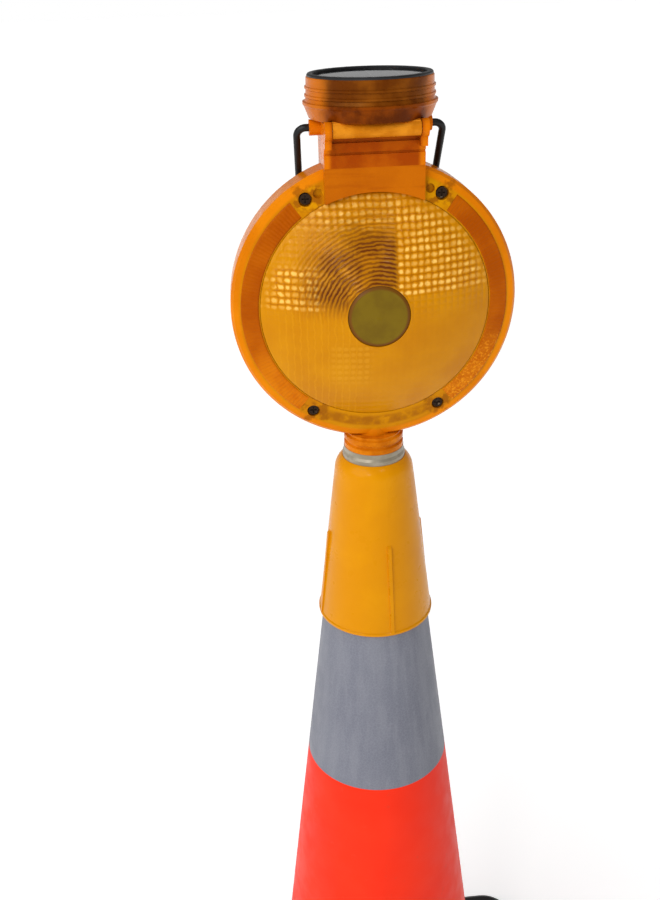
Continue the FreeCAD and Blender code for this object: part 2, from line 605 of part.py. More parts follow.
def make_switch():
    level = lamp_z("Dim.switch_up")
    casing = box("-Dim.casing_half", "Dim.casing_half", "Dim.casing_back",
                 "Dim.neck_deep - Dim.neck_wall - 0.2",
                 lamp_z("Dim.switch_up - 5.5"), lamp_z("Dim.switch_up + 5.5"))
    bore = cylinder("Dim.stem_radius + 0.3", "12", y="Dim.stem_back - 3", z=level,
                    rotation=ALONG_Y)
    node(cut(casing, [bore]), "switch_body")
    flange = cylinder("Dim.bezel_flange", "Dim.bezel_proud", y="Dim.neck_deep", z=level,
                      rotation=ALONG_Y)
    sleeve = cylinder("Dim.switch_hole - 0.1", "4.2", y="Dim.neck_deep - Dim.neck_wall + 0.1",
                      z=level, rotation=ALONG_Y)
    hole = cylinder("Dim.button_radius + 0.3", "12", y="16", z=level, rotation=ALONG_Y)
    node(cut(fuse([flange, sleeve]), [hole]), "switch_bezel")
    button = cylinder("Dim.button_radius", "Dim.button_out - Dim.button_in", y="Dim.button_in",
                      z=level, rotation=ALONG_Y)
    stem = cylinder("Dim.stem_radius", "Dim.stem_long", y="Dim.stem_back", z=level,
                    rotation=ALONG_Y)
    node(fuse([button, stem]), "switch_button")


# ---------------------------------------------------------------- carrying bail
def make_bail():
    body = doc.addObject("PartDesign::Body", "Bail")
    path = sketch_on(body, "WirePath", "XZ_Plane")
    # The half wire: out of the lug, round the shoulder, down the arm, round the corner.
    tilt = math.atan((number("Dim.bail_half") - number("Dim.bail_half_low"))
                     / number("Dim.bail_reach"))
    bend_turn = math.pi / 2 - tilt
    corner_turn = math.pi / 2 + tilt
    bend_back = "Dim.bail_bend * %.6f" % math.tan(bend_turn / 2)
    corner_back = "Dim.bail_corner * %.6f" % math.tan(corner_turn / 2)
    sine = "%.6f" % math.sin(tilt)
    cosine = "%.6f" % math.cos(tilt)
    half = [
        ("Dim.bail_end", "0"),
        ("Dim.bail_half - (%s)" % bend_back, "0", "Dim.bail_bend", "right"),
        ("Dim.bail_half - (%s) * %s" % (bend_back, sine), "-(%s) * %s" % (bend_back, cosine)),
        ("Dim.bail_half_low + (%s) * %s" % (corner_back, sine),
         "-Dim.bail_reach + (%s) * %s" % (corner_back, cosine), "Dim.bail_corner", "right"),
        ("Dim.bail_half_low - (%s)" % corner_back, "-Dim.bail_reach"),
    ]
    other = []
    for index, corner in enumerate(reversed(half)):
        mirrored = ("-(%s)" % corner[0], corner[1])
        if index in (0, 2):
            arc = half[len(half) - 2 - index]
            mirrored = mirrored + (arc[2], "right")
        other.append(mirrored)
    outline(path, half + other, closed=False)
    profile = sketch_on(body, "WireSection", "YZ_Plane")
    profile.AttachmentOffset = FreeCAD.Placement(Vec(0, 0, number("Dim.bail_end")),
                                                 FreeCAD.Rotation())
    profile.setExpression("AttachmentOffset.Base.z", "Dim.bail_end")
    profile.addGeometry(Part.Circle(Vec(0, 0, 0), Vec(0, 0, 1), number("Dim.wire_radius")))
    profile.addConstraint(Sketcher.Constraint("Coincident", 0, 3, -1, 1))
    key = profile.addConstraint(Sketcher.Constraint("Radius", 0, number("Dim.wire_radius")))
    profile.setExpression("Constraints[%d]" % key, "Dim.wire_radius")
    doc.recompute()
    pipe = body.newObject("PartDesign::AdditivePipe", "Wire")
    pipe.Profile = profile
    pipe.Spine = path
    lean_back = FreeCAD.Rotation(Vec(1, 0, 0), number("Dim.bail_lean"))
    place(body, z="Dim.disc_centre + Dim.pivot_up", rotation=lean_back)
    node(body, "bail_handle")


# ---------------------------------------------------------------- solar head
def make_head():
    low = "Dim.head_bottom"
    floor = "Dim.head_bottom + Dim.head_floor"
    top = "Dim.head_top"
    shape = revolved([
        ("0", low), ("Dim.head_flange - 5.5", low), ("Dim.head_flange - 3.7", low + " + 0.8"),
        ("Dim.head_flange - 0.8", low + " + 8.2"), ("Dim.head_flange", low + " + 9.2"),
        ("Dim.head_flange", low + " + 10.8"), ("Dim.head_flange - 1.6", low + " + 11.2"),
        ("Dim.head_flange - 2.2", low + " + 13.4"), ("Dim.head_flange - 1.4", low + " + 13.9"),
        ("Dim.head_flange - 1.4", low + " + 15.1"), ("Dim.head_flange - 2.2", low + " + 15.6"),
        ("Dim.head_flange - 2.4", low + " + 18.2"), ("Dim.head_flange - 1.6", low + " + 18.7"),
        ("Dim.head_flange - 1.6", low + " + 19.9"), ("Dim.head_flange - 2.5", low + " + 20.4"),
        ("Dim.head_flange - 2.6", top + " - 0.6"), ("Dim.bezel_radius + 0.2", top),
        ("Dim.cover_radius + 0.2", top), ("Dim.cover_radius + 0.2", "Dim.cover_low"),
        ("Dim.head_inner", "Dim.cover_low"), ("Dim.head_inner", low + " + 8"),
        ("Dim.head_inner - 3", floor), ("0", floor),
    ], "HeadCup")
    hinge_z = lamp_z("Dim.hinge_up")
    barrel = cylinder("Dim.barrel_radius", "2 * Dim.barrel_half", x="-Dim.barrel_half",
                      y="-Dim.hinge_out", z=hinge_z, rotation=ALONG_X)
    arm = box("-Dim.barrel_half + 0.6", "Dim.barrel_half - 0.6", "-Dim.hinge_out - 2.4",
              "-Dim.hinge_out + 3", hinge_z, low + " + 1")
    tongue = box("-Dim.tongue_half", "Dim.tongue_half", "Dim.tongue_front", "Dim.tongue_back",
                 low + " - 6", low + " + 1")
    pin_hole = cylinder("Dim.pin_bore", "80", x="-40", y="-Dim.hinge_out", z=hinge_z,
                        rotation=ALONG_X)
    notches = []
    for x in ("-Dim.cheek_out - 0.5", "Dim.cheek_in - 0.4"):
        notches.append(cylinder("Dim.cheek_radius + 0.6", "Dim.cheek_out - Dim.cheek_in + 0.9",
                                x=x, y="-Dim.hinge_out", z=hinge_z, rotation=ALONG_X))
    contact_hole = box("-Dim.contact_half", "Dim.contact_half", "-Dim.contact_deep",
                       "Dim.contact_deep", low + " - 1", floor + " + 1")
    housing = cut(fuse([shape, barrel, arm, tongue]), [pin_hole, contact_hole] + notches)
    node(housing, "head_housing")
    pin = cylinder("Dim.pin_radius - 0.02", "2 * Dim.cheek_out - 1", x="-Dim.cheek_out + 0.5",
                   y="-Dim.hinge_out", z=hinge_z, rotation=ALONG_X)
    node(pin, "hinge_pin")
    bezel_corners = [
        ("Dim.cover_radius + 0.2", top), ("Dim.bezel_radius", top),
        ("Dim.bezel_radius", "Dim.panel_top - 0.7"), ("Dim.bezel_radius - 0.6", "Dim.panel_top"),
        ("Dim.bezel_inner + 0.5", "Dim.panel_top"), ("Dim.bezel_inner", "Dim.panel_top - 0.6"),
        ("Dim.bezel_inner", "Dim.panel_top - 1.4"),
        ("Dim.cover_radius + 0.2", "Dim.panel_top - 1.4"),
    ]
    node(revolved(bezel_corners), "panel_bezel")
    cover = cylinder("Dim.cover_radius", "Dim.cover_thick", z="Dim.cover_low")
    node(cover, "panel_cover")
    cell_low = "Dim.cover_low - Dim.cell_thick"
    cell = cylinder("Dim.cell_radius", "Dim.cell_thick", z=cell_low)
    node(cell, "solar_cell")
    block_top = low + " + 6"
    node(box("-Dim.contact_half + 0.2", "Dim.contact_half - 0.2", "-Dim.contact_deep + 0.2",
             "Dim.contact_deep - 0.2", low + " + 0.1", block_top), "charge_plug")
    leads = []
    for sign in ("-", ""):
        leads.append(cylinder("Dim.lead_radius", "%s - (%s)" % (cell_low, block_top),
                              x=sign + "Dim.lead_spacing", z=block_top))
    node(group(leads), "solar_leads")


def make_charge_socket():
    level = lamp_z("Dim.cell_up")
    spring_top = "Dim.head_bottom - 0.4"
    socket = box("-Dim.socket_half", "Dim.socket_half", "-Dim.socket_deep", "Dim.socket_deep",
                 level, spring_top)
    node(socket, "charge_socket")


BUILDERS = [
    make_cone_base, make_cone_body, make_sleeve, make_adaptor_cap, make_clamp, make_mount,
    make_rim_seal, make_shell_fasteners, make_electrics, make_switch, make_bail, make_head,
    make_charge_socket,
]
for builder in BUILDERS:
    builder()
for lamp_side in ("front", "rear"):
    make_shell(lamp_side)
    make_lens(lamp_side)
    make_reflector(lamp_side)

doc.recompute()

# ---------------------------------------------------------------- checks and export
problems = []
for item in doc.Objects:
    if "Invalid" in item.State or "Error" in item.State:
        problems.append("%s is in state %s" % (item.Label, item.State))
for item in NODES:
    if item.Shape.isNull() or not item.Shape.isValid() or not item.Shape.Solids:
        problems.append("%s has no valid solid" % item.Label)
if problems:
    raise RuntimeError("; ".join(problems))

os.makedirs("parts", exist_ok=True)
for item in NODES:
    item.Shape.exportStep("parts/%s.step" % item.Label)
print("%d sub-parts written" % len(NODES))
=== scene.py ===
import math

import bpy
import numpy as np
from mathutils import Matrix, Vector


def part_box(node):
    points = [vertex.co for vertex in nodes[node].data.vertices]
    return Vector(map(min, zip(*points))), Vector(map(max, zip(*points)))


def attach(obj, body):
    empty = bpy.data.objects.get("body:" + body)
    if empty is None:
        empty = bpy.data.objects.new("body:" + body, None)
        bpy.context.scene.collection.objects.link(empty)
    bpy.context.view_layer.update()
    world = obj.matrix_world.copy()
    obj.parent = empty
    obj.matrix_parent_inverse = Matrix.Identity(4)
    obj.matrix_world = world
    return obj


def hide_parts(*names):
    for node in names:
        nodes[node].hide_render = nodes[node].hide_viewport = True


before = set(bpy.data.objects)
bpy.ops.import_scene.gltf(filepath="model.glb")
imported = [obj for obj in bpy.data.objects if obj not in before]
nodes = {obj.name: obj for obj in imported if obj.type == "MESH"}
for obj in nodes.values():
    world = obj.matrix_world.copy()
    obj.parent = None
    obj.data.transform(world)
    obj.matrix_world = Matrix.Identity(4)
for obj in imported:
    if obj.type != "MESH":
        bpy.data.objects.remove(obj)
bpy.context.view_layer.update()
scene = bpy.context.scene
scene.view_settings.view_transform = "Standard"

MM = 0.001
DISC = 0.883  # height of the lamp disc's centre
HINGE = DISC + 0.1204  # height of the head's hinge
PILLOW = 0.0047  # side of one square pillow of the lens
ARC = 0.0027  # pitch of the rings round the middle of the lens
HINGE_OUT = 0.030  # how far the hinge stands in front of the lamp's axis
BARREL_REACH = 0.0055  # just past the hinge barrel's surface, from the hinge line
TOP = 1.035  # top of the panel's bezel
PLATE_LOW = 0.0705  # where the colour of the neck's plate starts, above the disc's centre
PLATE_HIGH = 0.0955  # where it ends
NECK_SIDE = 0.0331  # just past the neck's side, from the middle
FINGER_PITCH = 0.0032  # between the thin silver lines of the solar cells
BUS_PITCH = 0.018  # between their broad ones
NOISE_ROUGH = 0.55  # how strongly the finer layers of every noise show
AMBER_GLINT = (1.0, 0.62, 0.22, 1.0)  # light that has passed through the amber mouldings


# ---------------------------------------------------------------- node helpers
class Shade:
    """One material with short ways to add nodes to it."""

    def __init__(self, name, base, rough=0.4, **inputs):
        self.material = bpy.data.materials.new(name)
        self.material.use_nodes = True
        self.tree = self.material.node_tree
        self.main = self.tree.nodes["Principled BSDF"]
        self.set("Base Color", (*base, 1.0))
        self.set("Roughness", rough)
        for key, value in inputs.items():
            self.set(key.replace("_", " "), value)
        self.coords = None

    def set(self, key, value):
        self.main.inputs[key].default_value = value

    def add(self, kind, **settings):
        made = self.tree.nodes.new(kind)
        for key, value in settings.items():
            setattr(made, key, value)
        return made

    def link(self, out, into):
        self.tree.links.new(out, into)

    def where(self, offset=(0, 0, 0), scale=(1, 1, 1)):
        """Object coordinates, shifted then scaled."""
        if self.coords is None:
            self.coords = self.add("ShaderNodeTexCoord")
        shift = self.add("ShaderNodeMapping", vector_type="POINT")
        shift.inputs["Location"].default_value = offset
        self.link(self.coords.outputs["Object"], shift.inputs["Vector"])
        grow = self.add("ShaderNodeMapping", vector_type="POINT")
        grow.inputs["Scale"].default_value = scale
        self.link(shift.outputs["Vector"], grow.inputs["Vector"])
        return grow.outputs["Vector"]

    def noise(self, scale, detail=3.0, vector=None):
        made = self.add("ShaderNodeTexNoise")
        made.inputs["Scale"].default_value = scale
        made.inputs["Detail"].default_value = detail
        made.inputs["Roughness"].default_value = NOISE_ROUGH
        self.link(vector if vector is not None else self.where(), made.inputs["Vector"])
        return made.outputs["Fac"]

    def voronoi(self, scale):
        """Distance to the nearest edge of an irregular cell."""
        made = self.add("ShaderNodeTexVoronoi", feature="DISTANCE_TO_EDGE")
        made.inputs["Scale"].default_value = scale
        self.link(self.where(), made.inputs["Vector"])
        return made.outputs["Distance"]

    def math(self, kind, first, second=None, third=None):
        made = self.add("ShaderNodeMath", operation=kind)
        for index, value in enumerate((first, second, third)):
            if value is None:
                continue
            if isinstance(value, (int, float)):
                made.inputs[index].default_value = value
            else:
                self.link(value, made.inputs[index])
        return made.outputs[0]

    def ramp(self, value, low, high, out_low=0.0, out_high=1.0):
        made = self.add("ShaderNodeMapRange", interpolation_type="SMOOTHSTEP")
        made.inputs["From Min"].default_value = low
        made.inputs["From Max"].default_value = high
        made.inputs["To Min"].default_value = out_low
        made.inputs["To Max"].default_value = out_high
        self.link(value, made.inputs["Value"])
        return made.outputs["Result"]

    def split(self, vector):
        made = self.add("ShaderNodeSeparateXYZ")
        self.link(vector, made.inputs[0])
        return made.outputs

    def within(self, value, low, high, soft):
        """One between two limits, falling to zero over a soft edge outside them."""
        return self.math("MULTIPLY", self.ramp(value, low - soft, low),
                         self.ramp(value, high, high + soft, 1.0, 0.0))

    def both(self, *factors):
        """The product of several masks."""
        product = factors[0]
        for factor in factors[1:]:
            product = self.math("MULTIPLY", product, factor)
        return product

    def length(self, first, second):
        return self.math("SQRT", self.math("ADD", self.math("MULTIPLY", first, first),
                                           self.math("MULTIPLY", second, second)))

    def per_cell(self, across, up, pitch):
        """A random number for each square cell of a grid."""
        columns = self.math("FLOOR", self.math("DIVIDE", across, pitch))
        rows = self.math("FLOOR", self.math("DIVIDE", up, pitch))
        pair = self.add("ShaderNodeCombineXYZ")
        self.link(columns, pair.inputs[0])
        self.link(rows, pair.inputs[1])
        made = self.add("ShaderNodeTexWhiteNoise", noise_dimensions="2D")
        self.link(pair.outputs[0], made.inputs["Vector"])
        return made.outputs["Value"]

    def blend(self, factor, first, second):
        """A colour between two colours."""
        made = self.add("ShaderNodeMix", data_type="RGBA")
        self.link(factor, made.inputs["Factor"])
        for key, value in ((6, first), (7, second)):
            if isinstance(value, tuple):
                made.inputs[key].default_value = (*value, 1.0)
            else:
                self.link(value, made.inputs[key])
        return made.outputs[2]

    def colour(self, out):
        self.link(out, self.main.inputs["Base Color"])

    def roughness(self, out):
        self.link(out, self.main.inputs["Roughness"])

    def bump(self, height, distance, strength):
        made = self.add("ShaderNodeBump")
        made.inputs["Distance"].default_value = distance
        made.inputs["Strength"].default_value = strength
        self.link(height, made.inputs["Height"])
        self.link(made.outputs["Normal"], self.main.inputs["Normal"])


def worn(shade, first, second, scale):
    """Soft mottling between two colours of one moulded surface."""
    shade.colour(shade.blend(shade.ramp(shade.noise(scale, 4.0), 0.42, 0.62), first, second))


# ---------------------------------------------------------------- materials
def rubber_material():
    shade = Shade("BaseRubber", (0.022, 0.022, 0.023), 0.72)
    fine = shade.noise(900.0, 2.0)
    scuff = shade.ramp(shade.noise(22.0, 6.0), 0.52, 0.72)
    shade.colour(shade.blend(scuff, (0.016, 0.016, 0.017), (0.05, 0.049, 0.047)))
    shade.roughness(shade.ramp(fine, 0.3, 0.7, 0.6, 0.85))
    shade.bump(fine, 0.0006, 0.6)
    return shade.material


def cone_material():
    shade = Shade("ConePlastic", (0.80, 0.03, 0.006), 0.46, Specular_IOR_Level=0.12)
    height = shade.split(shade.where())[2]
    foot = shade.ramp(height, 0.0, 0.16, 1.0, 0.0)
    dirt = shade.both(foot, shade.ramp(shade.noise(38.0, 6.0), 0.45, 0.7))
    clean = shade.blend(shade.ramp(shade.noise(9.0, 3.0), 0.35, 0.65),
                        (0.86, 0.022, 0.002), (0.90, 0.03, 0.004))
    scuffs = shade.ramp(shade.noise(150.0, 6.0), 0.64, 0.74, 0.0, 0.25)
    scuffed = shade.blend(scuffs, clean, (0.62, 0.06, 0.03))
    shade.colour(shade.blend(dirt, scuffed, (0.36, 0.05, 0.02)))
    shade.roughness(shade.ramp(shade.noise(60.0, 3.0), 0.3, 0.7, 0.40, 0.54))
    shade.bump(shade.noise(320.0, 2.0), 0.0003, 0.25)
    return shade.material


def sleeve_material():
    """Grey retroreflective film: a faint cell lattice under a cloudy, slightly blue sheen."""
    shade = Shade("RetroSleeve", (0.2, 0.205, 0.235), 0.5, Specular_IOR_Level=0.2)
    cells = shade.voronoi(420.0)
    cell_line = shade.ramp(cells, 0.0, 0.12, 1.0, 0.0)
    cloud = shade.ramp(shade.noise(16.0, 4.0), 0.35, 0.68)
    base = shade.blend(cloud, (0.158, 0.164, 0.202), (0.182, 0.189, 0.226))
    streaks = shade.noise(130.0, 5.0, shade.where(scale=(1, 1, 0.12)))
    grain = shade.blend(shade.ramp(streaks, 0.38, 0.66, 0.0, 0.5), base, (0.222, 0.228, 0.262))
    shade.colour(shade.blend(shade.math("MULTIPLY", cell_line, 0.3), grain, (0.27, 0.275, 0.31)))
    shade.roughness(shade.ramp(shade.noise(55.0, 3.0), 0.3, 0.7, 0.4, 0.54))
    shade.bump(cells, 0.00025, 0.5)
    return shade.material


def cap_material():
    shade = Shade("CapYellow", (0.68, 0.26, 0.001), 0.26, Specular_IOR_Level=0.16,
                  Coat_Weight=0.06, Coat_Roughness=0.1)
    shade.set("Specular Tint", AMBER_GLINT)
    worn(shade, (0.65, 0.245, 0.0003), (0.70, 0.28, 0.0004), 14.0)
    shade.roughness(shade.ramp(shade.noise(70.0, 3.0), 0.3, 0.7, 0.26, 0.36))
    shade.bump(shade.noise(260.0, 2.0), 0.0002, 0.3)
    return shade.material


def ring_material():
    shade = Shade("RingGrey", (0.3, 0.26, 0.19), 0.36, Metallic=0.3)
    worn(shade, (0.26, 0.225, 0.16), (0.36, 0.32, 0.24), 60.0)
    shade.bump(shade.noise(700.0, 2.0), 0.0002, 0.4)
    return shade.material


def amber(name, rough=0.26):
    """The start of every clear amber moulding: glossy, with a fine ripple in its surface."""
    shade = Shade(name, (0.7, 0.2, 0.002), rough, Specular_IOR_Level=0.13)
    shade.set("Specular Tint", AMBER_GLINT)
    shade.roughness(shade.ramp(shade.noise(120.0, 3.0), 0.3, 0.7, rough * 0.8, rough * 1.3))
    shade.bump(shade.noise(190.0, 3.0), 0.0003, 0.2)
    return shade


def swirled(shade, deep, light, scale=34.0):
    """Uneven depth of colour, as in a thick clear moulding."""
    return shade.blend(shade.ramp(shade.noise(scale, 5.0), 0.36, 0.66), deep, light)


def shell_material():
    """Lamp shell: yellow face, redder neck above its plate, shaded foot; bright edge painted as a
    highlight, painted shade in the screw recesses and below the lens, painted light on the neck's sides.
    """
    shade = amber("ShellAmber")
    across, _, up = shade.split(shade.where(offset=(0, 0, -DISC)))
    wide = shade.math("ABSOLUTE", across)
    reach = shade.length(across, up)
    face = swirled(shade, (0.50, 0.165, 0.001), (0.60, 0.235, 0.001))
    # Painted highlight: the rim gets a lighter orange for the highlight along its outer wall.
    edge = swirled(shade, (0.64, 0.17, 0.001), (0.74, 0.215, 0.002), 22.0)
    colour = shade.blend(shade.ramp(reach, 0.0925, 0.0955), face, edge)
    foot = shade.both(shade.ramp(up, -0.073, -0.066, 1.0, 0.0),
                      shade.ramp(wide, 0.038, 0.047, 1.0, 0.0),
                      shade.ramp(reach, 0.091, 0.0945, 1.0, 0.0))
    colour = shade.blend(foot, colour, (0.575, 0.22, 0.0006))
    # Painted shadow: uneven dark patches in the channel below the lens.
    painted_shadow = shade.both(shade.within(reach, 0.084, 0.089, 0.003),
                        shade.ramp(up, -0.080, -0.072, 1.0, 0.0),
                        shade.ramp(shade.noise(120.0, 4.0), 0.3, 0.6))
    colour = shade.blend(shade.math("MULTIPLY", painted_shadow, 0.75), colour, (0.30, 0.085, 0.002))
    # Painted shade: darker patches in the four screw recesses round the lens.
    recess_shade = shade.both(shade.within(wide, 0.0365, 0.053, 0.003),
                         shade.within(shade.math("ABSOLUTE", up), 0.070, 0.083, 0.003),
                         shade.ramp(shade.noise(150.0, 3.0), 0.44, 0.6))
    colour = shade.blend(shade.math("MULTIPLY", recess_shade, 0.7), colour, (0.26, 0.07, 0.002))
    lit_corner = shade.both(shade.within(wide, 0.0345, 0.050, 0.003),
                            shade.within(reach, 0.081, 0.0925, 0.002),
                            shade.ramp(up, 0.062, 0.070),
                            shade.ramp(shade.noise(150.0, 3.0), 0.6, 0.4))
    colour = shade.blend(shade.math("MULTIPLY", lit_corner, 0.7), colour, (0.66, 0.29, 0.001))
    streaks = shade.noise(210.0, 4.0, shade.where(scale=(0.12, 1, 1)))
    on_neck = shade.ramp(wide, NECK_SIDE - 0.0003, NECK_SIDE + 0.0003, 1.0, 0.0)
    plate = swirled(shade, (0.455, 0.10, 0.0008), (0.53, 0.128, 0.001), 26.0)
    colour = shade.blend(shade.both(on_neck, shade.ramp(up, PLATE_LOW, PLATE_LOW + 0.0007)), colour, plate)
    neck = swirled(shade, (0.34, 0.048, 0.0006), (0.44, 0.082, 0.001), 60.0)
    colour = shade.blend(shade.ramp(up, PLATE_HIGH, PLATE_HIGH + 0.0007), colour, neck)
    streak = shade.both(on_neck, shade.ramp(up, PLATE_LOW, PLATE_LOW + 0.0007),
                        shade.ramp(streaks, 0.5, 0.68))
    colour = shade.blend(shade.math("MULTIPLY", streak, 0.4), colour, (0.33, 0.055, 0.0006))
    # Painted light: both sides of the neck are made lighter for the light falling on its left side.
    corner = shade.both(shade.ramp(up, PLATE_HIGH, PLATE_HIGH + 0.0007), shade.ramp(wide, 0.0275, 0.031))
    shade.colour(shade.blend(corner, colour, (0.68, 0.165, 0.001)))
    return shade.material


def prism_material():
    """Ribbed side bands of the shell: brown-orange above, lighter and sparkling below."""
    shade = amber("BandAmber", 0.2)
    across, _, up = shade.split(shade.where(offset=(0, 0, -DISC)))
    deep = swirled(shade, (0.37, 0.066, 0.0006), (0.45, 0.095, 0.001), 40.0)
    light = swirled(shade, (0.52, 0.115, 0.001), (0.63, 0.175, 0.003), 60.0)
    glints = shade.ramp(shade.noise(640.0, 4.0), 0.48, 0.68)
    below = shade.ramp(up, -0.052, -0.012, 1.0, 0.0)
    colour = shade.blend(below, deep, light)
    right = shade.ramp(across, 0.0, 0.001)
    shade.colour(shade.blend(shade.both(glints, below, right), colour, (0.80, 0.29, 0.01)))
    return shade.material


def head_material():
    """Solar head: brown over its dark inside, orange at its sides, yellower hinge barrel."""
    shade = amber("HeadAmber", 0.3)
    across, depth, up = shade.split(shade.where())
    wide = shade.math("ABSOLUTE", across)
    cup = swirled(shade, (0.11, 0.022, 0.0008), (0.22, 0.058, 0.003), 52.0)
    tier = shade.ramp(up, 1.0178, 1.0190)
    skirt = swirled(shade, (0.09, 0.013, 0.0004), (0.21, 0.038, 0.0008), 70.0)
    colour = shade.blend(tier, skirt, cup)
    sides = shade.ramp(shade.math("ADD", wide, shade.math("MULTIPLY", shade.noise(90.0), 0.006)),
                       0.031, 0.040)
    colour = shade.blend(shade.math("MULTIPLY", sides, 0.85), colour, (0.60, 0.15, 0.003))
    from_hinge = shade.length(shade.math("ADD", depth, HINGE_OUT),
                              shade.math("SUBTRACT", up, HINGE))
    barrel = shade.ramp(from_hinge, BARREL_REACH - 0.0003, BARREL_REACH + 0.0003, 1.0, 0.0)
    shade.colour(shade.blend(barrel, colour, swirled(shade, (0.55, 0.165, 0.004),
                                                     (0.72, 0.25, 0.012), 80.0)))
    return shade.material


def collar_material():
    shade = amber("CollarAmber", 0.2)
    shade.colour(swirled(shade, (0.50, 0.12, 0.001), (0.68, 0.2, 0.004), 90.0))
    return shade.material


def lens_material(name, mirrored=False):
    """Yellow-amber optic: brown arcs of painted dark reflection up and left of the middle, bright
    square pillows with painted glints up and right and at the far left, smooth and faintly lined below."""
    shade = Shade(name, (0.60, 0.235, 0.001), 0.22, Specular_IOR_Level=0.2,
                  Coat_Weight=0.06, Coat_Roughness=0.08)
    shade.set("Specular Tint", AMBER_GLINT)
    across, _, up = shade.split(shade.where())
    if mirrored:
        across = shade.math("MULTIPLY", across, -1.0)
    reach = shade.length(across, up)
    stray_across = shade.math("MULTIPLY_ADD", shade.noise(210.0, 2.0), 0.0034, across)
    stray_up = shade.math("MULTIPLY_ADD", shade.noise(160.0, 2.0), 0.0022, up)
    columns = shade.math("ABSOLUTE", shade.math(
        "SINE", shade.math("MULTIPLY", stray_across, math.pi / PILLOW)))
    rows = shade.math("ABSOLUTE", shade.math(
        "SINE", shade.math("MULTIPLY", stray_up, math.pi / PILLOW)))
    pillow = shade.both(shade.math("POWER", columns, 0.6), rows)
    chance = shade.per_cell(stray_across, stray_up, PILLOW)

    mottle = shade.ramp(shade.noise(30.0, 4.0), 0.32, 0.68)
    colour = shade.blend(mottle, (0.53, 0.19, 0.0003), (0.59, 0.23, 0.0006))
    lined = shade.both(shade.ramp(columns, 0.0, 0.5, 1.0, 0.0),
                       shade.within(across, -0.062, -0.018, 0.012))
    colour = shade.blend(shade.math("MULTIPLY", lined, 0.30), colour, (0.70, 0.32, 0.006))
    faint = shade.both(shade.within(across, -0.030, -0.008, 0.005),
                       shade.within(up, -0.048, -0.022, 0.005), shade.ramp(pillow, 0.3, 0.8))
    colour = shade.blend(shade.math("MULTIPLY", faint, 0.26), colour, (0.74, 0.37, 0.02))

    # Painted glints: the pillows in these areas light up as if catching light, with painted shade in the
    # gutters between them.
    right = shade.both(shade.ramp(across, 0.0105, 0.0145), shade.ramp(up, 0.0115, 0.0155),
                       shade.ramp(reach, 0.070, 0.077, 1.0, 0.3))
    ragged = shade.ramp(shade.noise(75.0, 2.0), 0.28, 0.5)
    left = shade.both(ragged, shade.ramp(across, -0.044, -0.034, 1.0, 0.0),
                      shade.within(up, 0.008, 0.030, 0.006),
                      shade.ramp(reach, 0.072, 0.078, 1.0, 0.2))
    top = shade.both(shade.ramp(up, 0.055, 0.062), shade.math("SUBTRACT", 1.0, right))
    bright = shade.math("MAXIMUM", right, shade.math("MAXIMUM", left,
                                                     shade.math("MULTIPLY", top, 0.7)))
    warm = shade.blend(bright, colour, (0.60, 0.225, 0.0015))
    lit = shade.math("MULTIPLY_ADD", shade.ramp(chance, 0.1, 0.9), 0.62, 0.38)
    spark = shade.both(bright, shade.ramp(pillow, 0.40, 0.92), lit)
    warm = shade.blend(shade.math("MULTIPLY", spark, 0.88), warm, (0.96, 0.58, 0.13))
    gutter = shade.both(bright, shade.ramp(pillow, 0.0, 0.38, 1.0, 0.0))
    warm = shade.blend(shade.math("MULTIPLY", gutter, 0.7), warm, (0.36, 0.10, 0.0006))

    # Painted shade: the dark inside of the lamp, reflected and refracted in the rings, shown as brown arcs
    # up and left of the middle.
    shadow = shade.both(shade.ramp(across, 0.0105, 0.0145, 1.0, 0.0),
                        shade.ramp(across, -0.064, -0.034), shade.ramp(up, -0.004, 0.016),
                        shade.ramp(reach, 0.044, 0.076, 1.0, 0.18))
    wobble = shade.math("MULTIPLY", shade.noise(130.0, 2.0), 0.0040)
    phase = shade.math("MULTIPLY", shade.math("ADD", reach, wobble), 2 * math.pi / ARC)
    stripes = shade.ramp(shade.math("SINE", phase), -0.5, 0.6)
    patches = shade.ramp(shade.noise(85.0, 4.0), 0.34, 0.6)
    weight = shade.math("MULTIPLY_ADD", stripes, 0.46, 0.16)
    weight = shade.math("MULTIPLY_ADD", patches, 0.36, weight)
    shade.colour(shade.blend(shade.both(shadow, weight), warm, (0.115, 0.022, 0.003)))
    return shade.material


def window_material():
    shade = Shade("WindowOlive", (0.17, 0.1, 0.001), 0.42, Specular_IOR_Level=0.15)
    flat = shade.split(shade.where(offset=(0, 0, -DISC)))
    reach = shade.length(flat[0], flat[2])
    # Painted shade: a dark ring round the window's edge for the shade of the wall round it.
    edge = shade.ramp(reach, 0.0182, 0.0200)
    face = shade.blend(shade.ramp(shade.noise(70.0, 3.0), 0.35, 0.65),
                       (0.150, 0.088, 0.0004), (0.178, 0.110, 0.0006))
    shade.colour(shade.blend(edge, face, (0.15, 0.052, 0.001)))
    shade.bump(shade.noise(500.0, 2.0), 0.0002, 0.3)
    return shade.material


def metal_material(name, base, rough):
    shade = Shade(name, base, rough, Metallic=1.0)
    shade.roughness(shade.ramp(shade.noise(300.0, 3.0), 0.3, 0.7, rough * 0.8, rough * 1.3))
    shade.bump(shade.noise(900.0, 2.0), 0.0001, 0.3)
    return shade.material


def screw_material():
    """Steel painted near black for the shade in its amber recess, seen through it; lighter in random
    spots.
    """
    shade = Shade("RecessShadeSteel", (0.03, 0.016, 0.008), 0.5, Specular_IOR_Level=0.2, Metallic=0.4)
    lighter_spots = shade.ramp(shade.noise(420.0, 3.0), 0.6, 0.72)
    shade.colour(shade.blend(lighter_spots, (0.028, 0.014, 0.007), (0.2, 0.15, 0.1)))
    shade.bump(shade.noise(900.0, 2.0), 0.0001, 0.4)
    return shade.material


